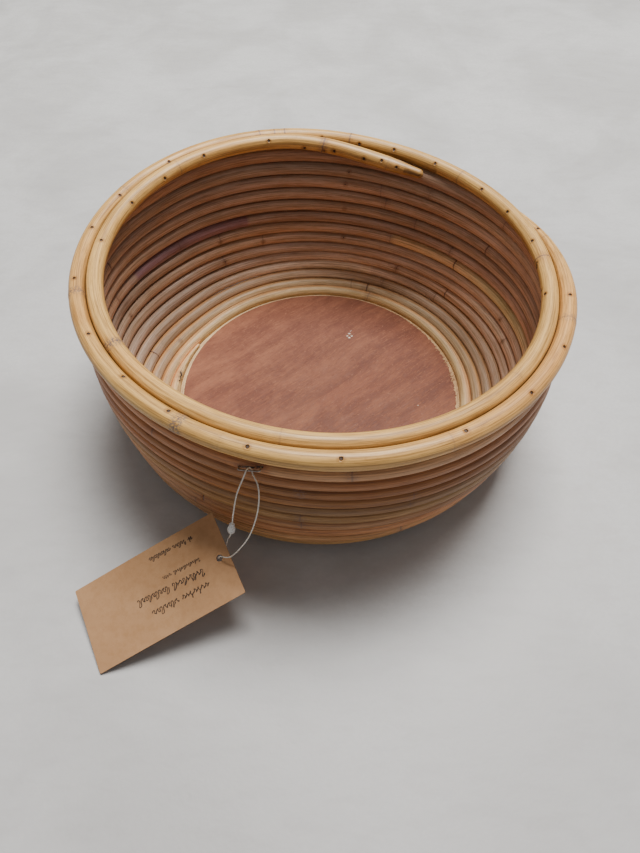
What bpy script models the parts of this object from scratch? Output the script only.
"""Round coiled-cane basket on a plywood base, with a doubled rim cane, brads, a staple and a hang tag on a loop.

Metres, +Z up. The basket stands on the floor at z = 0 with its centre on the Z axis.
The wall is one coil of cane lengths joined end to end: each turn runs level and steps up
to the next level in a short zone on the left. The rim cane makes two turns side by side
on top of the coil, with a long scarf at each end.
"""

import math

import bmesh
import bpy
import numpy as np
from mathutils import Matrix, Vector

for old in list(bpy.data.objects):
    bpy.data.objects.remove(old, do_unlink=True)

MM = 0.001

# ---------------------------------------------------------------- driving dimensions (mm, degrees)
OUTER_DIAMETER = 250.0  # over the rim, mean
HEIGHT = 105.0  # floor to the top of the rim, mean
GAP = 0.30  # clearance between neighbouring pieces

RIM_CANE_R = 4.1
RIM_OUT_R = OUTER_DIAMETER / 2 - RIM_CANE_R  # centre line of the rim's outer turn
RIM_IN_R = RIM_OUT_R - 2 * RIM_CANE_R - GAP  # and of its inner turn
RIM_Z = HEIGHT - RIM_CANE_R
RIM_IN_LIFT = (0.5, 0.9)  # the inner turn rides this much higher, all round and more at the back
RIM_START = 56.0  # azimuth of the inner scarf's tip
RIM_END = 400.0 + 360.0  # azimuth of the outer scarf's tip
RIM_CROSS = (345.0, 465.0)  # where the cane moves from the inner to the outer place
START_TIP_R, START_SCARF = 3.0, 14.0  # the inner end is cut short
START_DROP = 33.0  # it lies this much further round the inside of the top course, then climbs into place
START_CLIMB = (6.0, 49.0)
END_TIP_R, END_SCARF = 1.2, 52.0  # the outer end is cut long

BASE_R = 86.2
BASE_TOP = 4.2
BASE_BEVEL = 0.5

COIL_LEVELS = 14
COIL_START_R = BASE_R + GAP + 3.8  # centre line of the lowest level
COIL_START_Z = 4.0
COIL_TOP_R = (RIM_OUT_R + RIM_IN_R) / 2 - 0.2
COIL_TOP_Z = 92.6
CORNER_R = 21.2  # the wall turns up from the floor on this radius
WALL_FOOT_R = 111.8  # centre line where the corner ends
WALL_FOOT_LEAN = 13.9  # lean from the vertical there, and at the top
WALL_TOP_LEAN = -4.5
PITCH_RATIO = 1.24  # top pitch over bottom pitch: thinner cane was used low down
STEP_AZIMUTH = 165.0
STEP_WIDTH = 50.0
BUTT_GAP = 0.5

# butt joints along the coil, in turns from its lower end
BUTTS = (1.73, 3.01, 4.66, 6.20, 7.65, 9.02, 10.62, 12.02)

# the rim rides up and down, and is a little out of round
RIM_WAVE_COS = (-1.0, -1.9, 0.8)
RIM_WAVE_SIN = (-0.8, -1.0, 0.0)
ROUND_COS, ROUND_SIN = (1.2, -0.1), (-2.4, 1.1)  # second and third harmonic
BELLY_COS, BELLY_SIN = 4.2, -1.4  # the belly is wider from side to side than from front to back

SEGMENTS = 36  # per turn of the coil
RIM_SEGMENTS = 44

BRAD_R = 0.65
BRAD_HOLE_R = 1.0
BRAD_SUNK = 0.35
BRAD_LENGTH = 11.5

STAPLE_AZIMUTH = 255.8
STAPLE_LEVEL = 12  # it is driven into this level, a little above its middle
STAPLE_RAISE = 1.3
STAPLE_TILT = 15.0  # its right end is higher
STAPLE_CROWN = 10.0
STAPLE_LEG = 6.0
STAPLE_WIRE_R = 0.4
STAPLE_STAND = 1.65  # crown wire's centre from the cane's surface: room for the loop behind it

LOOP_WIRE_R = 0.3
TAG_LENGTH = 79.8
TAG_WIDTH = 42.6
TAG_THICKNESS = 0.6
TAG_HOLE_R = 1.7
TAG_HOLE_INSET = 5.2
TAG_HOLE_ASIDE = -0.8  # from the middle of the tag's width
TAG_CORNER = (-101.8, -173.8, 0.75)  # the corner on the floor
TAG_YAW, TAG_PITCH, TAG_ROLL = 22.8, 21.6, 9.5

# the loop's two strands between the staple and the tag's hole: (share of the way down, sideways, outwards)
LEFT_STRAND = ((0.03, -1.1, 2.2), (0.18, -1.5, 3.6), (0.38, -0.2, 4.0))
RIGHT_STRAND = ((0.868, 5.0, 3.4), (0.636, 8.9, 5.4), (0.458, 10.1, 6.4), (0.255, 9.7, 6.4), (0.110, 7.9, 5.4), (0.036, 5.4, 3.4))
LOCK_AT = (0.53, 1.1, 4.0)
LOCK_LENGTH, LOCK_RADIUS = 5.6, 1.8


# ---------------------------------------------------------------- helpers
def smooth(x):
    x = min(1.0, max(0.0, x))
    return x * x * (3 - 2 * x)


def wave(azimuth):
    return sum(
        c * math.cos((i + 1) * azimuth) + s * math.sin((i + 1) * azimuth)
        for i, (c, s) in enumerate(zip(RIM_WAVE_COS, RIM_WAVE_SIN))
    )


def out_of_round(azimuth):
    return sum(
        c * math.cos((i + 2) * azimuth) + s * math.sin((i + 2) * azimuth)
        for i, (c, s) in enumerate(zip(ROUND_COS, ROUND_SIN))
    )


def belly(azimuth, z):
    t = min(1.0, max(0.0, (z - 5.0) / (RIM_Z - 5.0)))
    swell = math.sin(math.pi * t) * smooth(t / 0.25)
    return swell * (BELLY_COS * math.cos(2 * azimuth) + BELLY_SIN * math.sin(2 * azimuth))


def place(radius, degrees, z):
    """Cylindrical to world millimetres, with the hand-made basket's waviness, which grows with height."""
    a = math.radians(degrees)
    k = max(0.0, z) / RIM_Z
    r = radius + k * out_of_round(a) + belly(a, z)
    return Vector((r * math.cos(a), r * math.sin(a), z + k * wave(a)))


model = bpy.data.collections.new("coiled_cane_basket")
cutters = bpy.data.collections.new("cutters")
bpy.context.scene.collection.children.link(model)
bpy.context.scene.collection.children.link(cutters)
cutters.hide_render = True


def material(name, color, roughness, metallic=0.0, alpha=1.0):
    m = bpy.data.materials.new(name)
    m.use_nodes = True
    shader = m.node_tree.nodes["Principled BSDF"]
    shader.inputs["Base Color"].default_value = (*color, 1.0)
    shader.inputs["Roughness"].default_value = roughness
    shader.inputs["Metallic"].default_value = metallic
    shader.inputs["Alpha"].default_value = alpha
    m.diffuse_color = (*color, alpha)
    return m


def mesh_object(name, mesh, mat, where=None):
    obj = bpy.data.objects.new(name, mesh)
    (where or model).objects.link(obj)
    if mat:
        mesh.materials.clear()
        mesh.materials.append(mat)
    return obj


def shade(mesh, flat_above=35.0):
    """Smooth faces, with sharp edges kept at caps and corners."""
    bm = bmesh.new()
    bm.from_mesh(mesh)
    for f in bm.faces:
        f.smooth = True
    for e in bm.edges:
        if len(e.link_faces) == 2 and e.calc_face_angle(0) > math.radians(flat_above):
            e.smooth = False
    bm.to_mesh(mesh)
    bm.free()


def tube(name, points, radii, mat, sides=8):
    """A round bar along the points (mm), as a curve with a bevel made into a closed mesh."""
    curve = bpy.data.curves.new(name + "_path", "CURVE")
    curve.dimensions = "3D"
    curve.twist_mode = "MINIMUM"
    curve.bevel_depth = MM
    curve.bevel_resolution = (sides - 4) // 2
    curve.use_fill_caps = True
    spline = curve.splines.new("POLY")
    spline.points.add(len(points) - 1)
    for knot, p, r in zip(spline.points, points, radii):
        knot.co = (p[0] * MM, p[1] * MM, p[2] * MM, 1.0)
        knot.radius = r
    path = bpy.data.objects.new(name + "_path", curve)
    bpy.context.scene.collection.objects.link(path)
    graph = bpy.context.evaluated_depsgraph_get()
    mesh = bpy.data.meshes.new_from_object(path.evaluated_get(graph))
    mesh.name = name
    bpy.data.objects.remove(path, do_unlink=True)
    bm = bmesh.new()
    bm.from_mesh(mesh)
    bmesh.ops.remove_doubles(bm, verts=bm.verts, dist=1e-7)
    bmesh.ops.recalc_face_normals(bm, faces=bm.faces)
    bm.to_mesh(mesh)
    bm.free()
    shade(mesh)
    return mesh_object(name, mesh, mat)


def prism(bm, start, end, radius, sides=6):
    """Adds a closed prism from start to end (mm) to bm."""
    axis = Vector(end) - Vector(start)
    turn = axis.to_track_quat("Z", "Y").to_matrix().to_4x4()
    middle = (Vector(start) + Vector(end)) / 2 * MM
    bmesh.ops.create_cone(
        bm, cap_ends=True, segments=sides, radius1=radius * MM, radius2=radius * MM,
        depth=axis.length * MM, matrix=Matrix.Translation(middle) @ turn,
    )


def cut(obj, cutter):
    m = obj.modifiers.new("cut_" + cutter.name, "BOOLEAN")
    m.operation = "DIFFERENCE"
    m.solver = "EXACT"
    m.object = cutter


# ---------------------------------------------------------------- the coil's section path
def section_path():
    """Centre line in the (radius, z) plane: along the floor, round the corner, then up the gently bowed wall."""
    steps = []
    lean0 = math.radians(90 - WALL_FOOT_LEAN)
    corner_start = WALL_FOOT_R - CORNER_R * math.sin(lean0)
    flat = max(0.0, corner_start - COIL_START_R)
    for i in range(21):
        steps.append((COIL_START_R + flat * i / 20, COIL_START_Z))
    for i in range(1, 61):
        a = lean0 * i / 60
        steps.append((corner_start + CORNER_R * math.sin(a), COIL_START_Z + CORNER_R * (1 - math.cos(a))))
    foot = steps[-1]
    rise = COIL_TOP_Z - foot[1]
    run = COIL_TOP_R - foot[0]
    s0, s1 = math.tan(math.radians(WALL_FOOT_LEAN)), math.tan(math.radians(WALL_TOP_LEAN))
    for i in range(1, 181):
        t = i / 180
        h00, h10 = 2 * t**3 - 3 * t**2 + 1, t**3 - 2 * t**2 + t
        h01, h11 = -2 * t**3 + 3 * t**2, t**3 - t**2
        r = h00 * foot[0] + h10 * rise * s0 + h01 * (foot[0] + run) + h11 * rise * s1
        steps.append((r, foot[1] + rise * t))
    path = np.array(steps)
    length = np.concatenate([[0], np.cumsum(np.linalg.norm(np.diff(path, axis=0), axis=1))])
    return path, length


PATH, LENGTH = section_path()
TOTAL = float(LENGTH[-1])
MEAN_PITCH = TOTAL / (COIL_LEVELS - 1)
PITCH0 = 2 * MEAN_PITCH / (1 + PITCH_RATIO)
PITCH_STEP = (PITCH_RATIO - 1) * PITCH0 / (COIL_LEVELS - 2)


def on_path(s):
    return float(np.interp(s, LENGTH, PATH[:, 0])), float(np.interp(s, LENGTH, PATH[:, 1]))


def level_pitch(n):
    """Distance along the section from level n to level n + 1."""
    return PITCH0 + PITCH_STEP * n


def level_s(n):
    return sum(level_pitch(i) for i in range(n))


def level_r(n):
    """Cane radius on a level: it leaves GAP to both neighbours."""
    return (PITCH0 + PITCH_STEP * (n - 0.5)) / 2 - GAP / 2


def coil_at(turns):
    """(s, radius) of the cane's centre along the section, at this many turns from the coil's lower end."""
    n = round(turns)
    off = (turns - n) * 360.0
    half = STEP_WIDTH / 2
    if abs(off) < half:
        rise = smooth((off + half) / STEP_WIDTH)
        if n == 0:  # scarfed start: its inner side stays against the base
            full, room = level_r(0), (level_pitch(0) * rise - GAP) / 2
            r = min(full, room)
            return level_s(0) - (full - r), r
        if n == COIL_LEVELS:  # scarfed end: its upper side stays under the rim
            full, room = level_r(n - 1), (level_pitch(n - 2) * (1 - rise) - GAP) / 2
            r = min(full, room)
            return level_s(n - 1) + (full - r), r
        a, b = level_s(n - 1), level_s(n)
        return a + (b - a) * rise, level_r(n - 1) * (1 - rise) + level_r(n) * rise
    n = math.floor(turns)
    return level_s(n), level_r(n)


def coil_centre(turns):
    s = coil_at(turns)[0]
    if s < 0:
        radius, z = COIL_START_R + s, COIL_START_Z
    elif s > TOTAL:
        radius, z = COIL_TOP_R, COIL_TOP_Z + s - TOTAL
    else:
        radius, z = on_path(s)
    return place(radius, STEP_AZIMUTH + 360.0 * turns, z)


def coil_point(turns):
    """Centre and cane radius: thinner where the belly brings two turns closer."""
    here, r = coil_centre(turns), coil_at(turns)[1]
    if 0.5 < turns < COIL_LEVELS - 0.5:
        for other in (turns - 1, turns + 1):
            if STEP_WIDTH / 720 < other < COIL_LEVELS - STEP_WIDTH / 720:
                r = min(r, ((coil_centre(other) - here).length - GAP) / 2)
    return here, r


def faceted_point(turns):
    """As coil_point, but on the straight facet between the whole stations either side."""
    low = math.floor(turns * SEGMENTS)
    if not 0 < low < COIL_LEVELS * SEGMENTS - 1:
        return coil_point(turns)
    (a, ra), (b, rb) = coil_point(low / SEGMENTS), coil_point((low + 1) / SEGMENTS)
    t = turns * SEGMENTS - low
    return a.lerp(b, t), ra + (rb - ra) * t


def coil_length(name, first, last, mat):
    # stations fall on whole segments, so that neighbouring turns are faceted alike
    inner = [i / SEGMENTS for i in range(math.ceil(first * SEGMENTS + 0.25), math.floor(last * SEGMENTS - 0.25) + 1)]
    placed = [faceted_point(first), *(coil_point(t) for t in inner), faceted_point(last)]
    return tube(name, [p for p, _ in placed], [r for _, r in placed], mat)


# ---------------------------------------------------------------- base panel
bm = bmesh.new()
bmesh.ops.create_cone(
    bm, cap_ends=True, segments=72, radius1=BASE_R * MM, radius2=BASE_R * MM, depth=BASE_TOP * MM,
    matrix=Matrix.Translation((0, 0, BASE_TOP / 2 * MM)),
)
mesh = bpy.data.meshes.new("base_panel")
bm.to_mesh(mesh)
bm.free()
base = mesh_object("base_panel", mesh, material("base_veneer", (0.34, 0.15, 0.09), 0.55))
bevel = base.modifiers.new("eased_edge", "BEVEL")
bevel.width = BASE_BEVEL * MM
bevel.segments = 1
bevel.limit_method = "ANGLE"

# ---------------------------------------------------------------- the coil, in butted lengths
CANE_COLOURS = ((0.42, 0.29, 0.14), (0.38, 0.24, 0.11), (0.35, 0.19, 0.08), (0.33, 0.18, 0.09), (0.30, 0.18, 0.09))
start_turn = -STEP_WIDTH / 2 / 360 * 0.38
end_turn = COIL_LEVELS + STEP_WIDTH / 2 / 360 * 0.38
# a joint falls in the middle of a facet, where the two cut faces are parallel
joints = [(math.floor(b * SEGMENTS) + 0.5) / SEGMENTS for b in BUTTS]
ends = [start_turn, *joints, end_turn]
lengths = []
for i, (a, b) in enumerate(zip(ends[:-1], ends[1:])):
    half_gap = BUTT_GAP / 2 / (2 * math.pi * 105.0)
    first = a + (half_gap if i else 0)
    last = b - (half_gap if i < len(ends) - 2 else 0)
    colour = CANE_COLOURS[min(len(CANE_COLOURS) - 1, i * len(CANE_COLOURS) // (len(ends) - 1))]
    name = f"coil_cane_{i + 1:02d}"
    lengths.append(coil_length(name, first, last, material(name, colour, 0.42)))


# ---------------------------------------------------------------- rim cane
def over_course(radius):
    """Height of the rim cane's centre where it crosses over the top course."""
    reach = RIM_CANE_R + level_r(COIL_LEVELS - 1) + GAP
    lift = math.sqrt(max(0.0, reach * reach - (radius - COIL_TOP_R) ** 2))
    return max(RIM_Z, COIL_TOP_Z + lift)


def nestled(main_r, r):
    """Centre of the outer end, of radius r, where it lies against the rim cane inside it and the top course under it."""
    a, ra = Vector((main_r, over_course(main_r))), RIM_CANE_R + r + GAP
    b, rb = Vector((COIL_TOP_R, COIL_TOP_Z)), level_r(COIL_LEVELS - 1) + r + 3 * GAP
    apart = (b - a).length
    along = (ra * ra - rb * rb + apart * apart) / (2 * apart)
    out = math.sqrt(max(0.0, ra * ra - along * along))
    u = (b - a) / apart
    normal = Vector((-u.y, u.x))
    if normal.x < 0:
        normal = -normal
    return a + u * along + normal * out


def crossing(degrees):
    cross = smooth((degrees - RIM_CROSS[0]) / (RIM_CROSS[1] - RIM_CROSS[0]))
    return RIM_IN_R + (RIM_OUT_R - RIM_IN_R) * cross


def inner_lift(degrees):
    """How much higher the inner turn rides at this azimuth along the two turns."""
    left = 1 - smooth((degrees - RIM_CROSS[0] + 30.0) / (RIM_CROSS[1] - RIM_CROSS[0]))
    return left * (RIM_IN_LIFT[0] + RIM_IN_LIFT[1] * math.sin(math.radians(degrees)))


def rim_at(degrees):
    """(radius, z, cane radius) before waviness, at this azimuth along the two turns."""
    radius, r = crossing(degrees), RIM_CANE_R
    z = over_course(radius) + inner_lift(degrees)
    in_start = degrees - RIM_START
    in_end = RIM_END - degrees
    if in_start < START_CLIMB[1]:
        r = START_TIP_R + (RIM_CANE_R - START_TIP_R) * smooth(in_start / START_SCARF)
        full = Vector((COIL_TOP_R - RIM_IN_R, RIM_Z + inner_lift(degrees) - COIL_TOP_Z))
        q = smooth((in_start - START_CLIMB[0]) / (START_CLIMB[1] - START_CLIMB[0]))
        round_course = math.atan2(full.x, full.y) + math.radians(START_DROP) * (1 - q)
        reach = (level_r(COIL_LEVELS - 1) + r + 3 * GAP) * (1 - q) + full.length * q
        radius, z = COIL_TOP_R - reach * math.sin(round_course), COIL_TOP_Z + reach * math.cos(round_course)
    if in_end < RIM_END - 360.0 - RIM_CROSS[0]:
        r = END_TIP_R + (RIM_CANE_R - END_TIP_R) * smooth(in_end / END_SCARF)
        spot = nestled(crossing(degrees - 360.0), r)
        q = smooth(in_end / (RIM_END - 360.0 - RIM_CROSS[0]))
        radius, z = spot.x * (1 - q) + RIM_OUT_R * q, spot.y * (1 - q) + RIM_Z * q
    return radius, z, r


count = round((RIM_END - RIM_START) / 360 * RIM_SEGMENTS)
stations = [RIM_START + (RIM_END - RIM_START) * i / count for i in range(count + 1)]
rim_points = []
rim_radii = []
for d in stations:
    radius, z, r = rim_at(d)
    rim_points.append(place(radius, d, z))
    rim_radii.append(r)
rim = tube("rim_cane", rim_points, rim_radii, material("rim_cane", (0.56, 0.38, 0.20), 0.34), sides=10)

# ---------------------------------------------------------------- brads
# azimuth along the rim cane, and the head's place round the cane from straight up (+ outwards)
INNER_BRADS = (
    (64.5, -64), (69.8, -50), (75.8, -82), (86.0, -91), (95.7, -112), (107.0, -50), (127.9, -53),
    (142.2, -73), (156.1, -54), (173.3, -11), (348.3, -52), (369.7, -39), (384.0, -53), (396.0, -46),
)
OUTER_BRADS = (
    (413.7, -46), (427.5, -52), (438.5, -75), (450.1, -70), (475.0, -87), (496.6, -40), (514.8, -31),
    (528.5, -11), (547.2, 7), (567.2, -11), (583.8, -24), (598.4, -13), (616.6, 19), (633.9, 24),
    (658.4, 5), (675.7, 25), (691.5, 24), (708.6, -2), (735.6, -9),
)

holes = bmesh.new()
brad_steel = (0.10, 0.07, 0.05)
made = 0
for degrees, tilt in INNER_BRADS + OUTER_BRADS:
    radius, z, r = rim_at(degrees)
    a = math.radians(tilt)
    head = (radius + r * math.sin(a), z + r * math.cos(a))
    # driven between straight into its own cane and straight at the top course
    through_cane = Vector((radius - head[0], z - head[1])).normalized()
    at_course = Vector((COIL_TOP_R - head[0], COIL_TOP_Z - head[1])).normalized()
    along = (through_cane + at_course).normalized()
    shift = place(radius, degrees, z) - place(radius, degrees, 0.0) - Vector((0, 0, z))

    def at(depth):
        p = place(head[0] + along.x * depth, degrees, 0.0)
        return Vector((p.x, p.y, head[1] + along.y * depth)) + shift

    made += 1
    name = f"brad_{made:02d}"
    bm = bmesh.new()
    prism(bm, at(BRAD_SUNK), at(BRAD_SUNK + BRAD_LENGTH), BRAD_R)
    mesh = bpy.data.meshes.new(name)
    bm.to_mesh(mesh)
    bm.free()
    mesh_object(name, mesh, material(name, brad_steel, 0.5, 0.8))
    prism(holes, at(-3.0), at(BRAD_SUNK + BRAD_LENGTH + 0.4), BRAD_HOLE_R)

mesh = bpy.data.meshes.new("brad_holes")
holes.to_mesh(mesh)
holes.free()
brad_holes = mesh_object("brad_holes", mesh, None, cutters)

# ---------------------------------------------------------------- staple over the loop
up = Vector((0, 0, 1))
staple_turn = STAPLE_LEVEL + (STAPLE_AZIMUTH - STEP_AZIMUTH) / 360.0
course, course_r = coil_point(staple_turn)
azimuth = math.radians(STAPLE_AZIMUTH)
outward = Vector((math.cos(azimuth), math.sin(azimuth), 0.0))
tangent = Vector((-math.sin(azimuth), math.cos(azimuth), 0.0))
crown = course + outward * (course_r + STAPLE_STAND) + up * STAPLE_RAISE
tilt = math.radians(STAPLE_TILT)
crown_axis = tangent * math.cos(tilt) + up * math.sin(tilt)
half = crown_axis * (STAPLE_CROWN / 2)
leg = -outward * STAPLE_LEG
bend = 0.5
staple_points = []
for side, order in ((-1, (0, 1, 2)), (1, (2, 1, 0))):
    corner = [
        crown + half * side + leg,
        crown + half * side - outward * bend,
        crown + half * side - crown_axis * side * bend,
    ]
    staple_points += [corner[i] for i in order]
tube("tag_staple", staple_points, [STAPLE_WIRE_R] * len(staple_points), material("tag_staple", (0.6, 0.6, 0.62), 0.3, 1.0))
slots = bmesh.new()
for side in (-1, 1):
    prism(slots, crown + half * side + leg * 1.12, crown + half * side + outward * 2.0, STAPLE_WIRE_R + 0.4)
mesh = bpy.data.meshes.new("staple_holes")
slots.to_mesh(mesh)
slots.free()
staple_holes = mesh_object("staple_holes", mesh, None, cutters)

for cutter in (brad_holes, staple_holes):
    cutter.hide_render = True
    cutter.display_type = "WIRE"

cut(rim, brad_holes)
for i, obj in enumerate(lengths):
    if ends[i + 1] > COIL_LEVELS - 1.2:
        cut(obj, brad_holes)
    if ends[i] < staple_turn < ends[i + 1]:
        cut(obj, staple_holes)

# ---------------------------------------------------------------- hang tag
yaw, pitch, roll = (math.radians(v) for v in (TAG_YAW, TAG_PITCH, TAG_ROLL))
tag_a = Vector((math.cos(yaw) * math.cos(pitch), math.sin(yaw) * math.cos(pitch), math.sin(pitch)))
level_b = Vector((0, 0, 1)).cross(tag_a).normalized()
tag_b = level_b * math.cos(roll) + tag_a.cross(level_b) * math.sin(roll)
tag_n = tag_a.cross(tag_b)
tag_frame = Matrix((tag_a, tag_b, tag_n)).transposed().to_4x4()
corner = Vector(TAG_CORNER)


def on_tag(a, b, n=0.0):
    return corner + tag_a * a + tag_b * b + tag_n * n


hole = on_tag(TAG_LENGTH - TAG_HOLE_INSET, TAG_WIDTH / 2 + TAG_HOLE_ASIDE)
bm = bmesh.new()
bmesh.ops.create_cube(bm, size=1.0, matrix=Matrix.Diagonal((TAG_LENGTH * MM, TAG_WIDTH * MM, TAG_THICKNESS * MM, 1.0)))
bmesh.ops.translate(bm, verts=bm.verts, vec=((TAG_HOLE_INSET - TAG_LENGTH / 2) * MM, -TAG_HOLE_ASIDE * MM, 0))
mesh = bpy.data.meshes.new("hang_tag")
bm.to_mesh(mesh)
bm.free()
tag = mesh_object("hang_tag", mesh, material("hang_tag", (0.42, 0.26, 0.16), 0.85))
tag.matrix_world = Matrix.Translation(hole * MM) @ tag_frame
punch_bm = bmesh.new()
prism(punch_bm, (0, 0, -3), (0, 0, 3), TAG_HOLE_R, 20)
mesh = bpy.data.meshes.new("tag_punch")
punch_bm.to_mesh(mesh)
punch_bm.free()
punch = mesh_object("tag_punch", mesh, None, cutters)
punch.matrix_world = tag.matrix_world.copy()
punch.hide_render = True
punch.display_type = "WIRE"
cut(tag, punch)

# ---------------------------------------------------------------- loop and its lock
def strand(share, sideways, out):
    return crown.lerp(hole, share) + tangent * sideways + outward * out


def through(knots, per_span):
    """A smooth line through the knots, with per_span points from each to the next."""
    padded = [knots[0] * 2 - knots[1], *knots, knots[-1] * 2 - knots[-2]]
    line = [knots[0]]
    for a, b, c, d in zip(padded, padded[1:], padded[2:], padded[3:]):
        for i in range(1, per_span + 1):
            t = i / per_span
            line.append((b * 2 + (c - a) * t + (a * 2 - b * 5 + c * 4 - d) * t * t + (b * 3 - a - c * 3 + d) * t**3) / 2)
    return line


lock_centre = strand(*LOCK_AT)
lock_axis = (strand(LOCK_AT[0] - 0.1, LOCK_AT[1] - 0.8, LOCK_AT[2]) - lock_centre).normalized()
behind_wire = -outward * (STAPLE_WIRE_R + LOOP_WIRE_R + 0.3)
loop_knots = [
    # from the lock down behind the tag, out through its hole and over its face
    lock_centre - lock_axis * 0.4,
    lock_centre - lock_axis * (LOCK_LENGTH / 2 + 0.4),
    lock_centre - lock_axis * (LOCK_LENGTH / 2 + 1.6),
    on_tag(TAG_LENGTH + 1.8, TAG_WIDTH / 2 + 5.6, -1.2),
    on_tag(TAG_LENGTH - 0.8, TAG_WIDTH / 2 + 4.8, -4.2),
    on_tag(TAG_LENGTH - 3.6, TAG_WIDTH / 2 + 1.4, -3.4),
    hole,
    hole + tag_n * 2.6 + tag_a * 1.6 - tag_b * 0.4,
    # up the right strand, in behind the staple's crown and out over it
    *(strand(*knot) for knot in RIGHT_STRAND),
    crown + crown_axis * 2.2 + outward * 0.9 - up * 1.5,
    crown + crown_axis * 0.8 + behind_wire - up * 0.2,
    crown - crown_axis * 0.2 + behind_wire * 0.55 + up * 1.1,
    crown - crown_axis * 0.9 + outward * 1.2 + up * 0.9,
    # down the left strand into the lock
    *(strand(*knot) for knot in LEFT_STRAND),
    lock_centre + lock_axis * (LOCK_LENGTH / 2 + 1.6),
    lock_centre + lock_axis * (LOCK_LENGTH / 2 + 0.4),
    lock_centre + lock_axis * 0.4,
]
loop_points = through(loop_knots, 3)
FILAMENT = sum((b - a).length for a, b in zip(loop_points, loop_points[1:]))
tube("tag_loop", loop_points, [LOOP_WIRE_R] * len(loop_points), material("tag_loop", (0.85, 0.86, 0.87), 0.15, 0.0, 0.6))

# the lock is a bead turned round the filament: a narrow collar above a round body, with a bore right through
bm = bmesh.new()
bore = LOOP_WIRE_R + 0.6
profile = [(bore, -LOCK_LENGTH / 2)]
for i in range(9):
    a = math.pi * (i / 8) * 0.86
    profile.append((0.15 + bore + (LOCK_RADIUS - bore - 0.15) * math.sin(a) ** 0.8, -LOCK_LENGTH / 2 + 3.8 * (1 - math.cos(a)) / 2))
profile += [(1.15, LOCK_LENGTH / 2 - 0.4), (0.95, LOCK_LENGTH / 2), (bore, LOCK_LENGTH / 2)]
turn = Matrix.Translation(lock_centre * MM) @ lock_axis.to_track_quat("Z", "Y").to_matrix().to_4x4()
sides = 12
rings = [
    [bm.verts.new(turn @ Vector((r * math.cos(2 * math.pi * k / sides), r * math.sin(2 * math.pi * k / sides), z))) for k in range(sides)]
    for r, z in ((r * MM, z * MM) for r, z in profile)
]
for lower, upper in zip(rings, rings[1:] + rings[:1]):
    for k in range(sides):
        bm.faces.new((lower[k], lower[(k + 1) % sides], upper[(k + 1) % sides], upper[k]))
bmesh.ops.recalc_face_normals(bm, faces=bm.faces)
mesh = bpy.data.meshes.new("loop_lock")
bm.to_mesh(mesh)
bm.free()
shade(mesh, 60)
mesh_object("loop_lock", mesh, material("loop_lock", (0.85, 0.86, 0.87), 0.2, 0.0, 0.7))

# pivots of the two moving pieces
for name, where in (("loop_pivot", crown), ("tag_pivot", hole)):
    empty = bpy.data.objects.new(name, None)
    empty.location = where * MM
    empty.empty_display_size = 0.01
    model.objects.link(empty)
bpy.context.view_layer.update()
for name, parent in (("tag_loop", "loop_pivot"), ("loop_lock", "loop_pivot"), ("hang_tag", "tag_pivot"), ("tag_pivot", "loop_pivot")):
    child, holder = bpy.data.objects[name], bpy.data.objects[parent]
    held = child.matrix_world.copy()
    child.parent = holder
    child.matrix_parent_inverse = holder.matrix_world.inverted()
    child.matrix_world = held
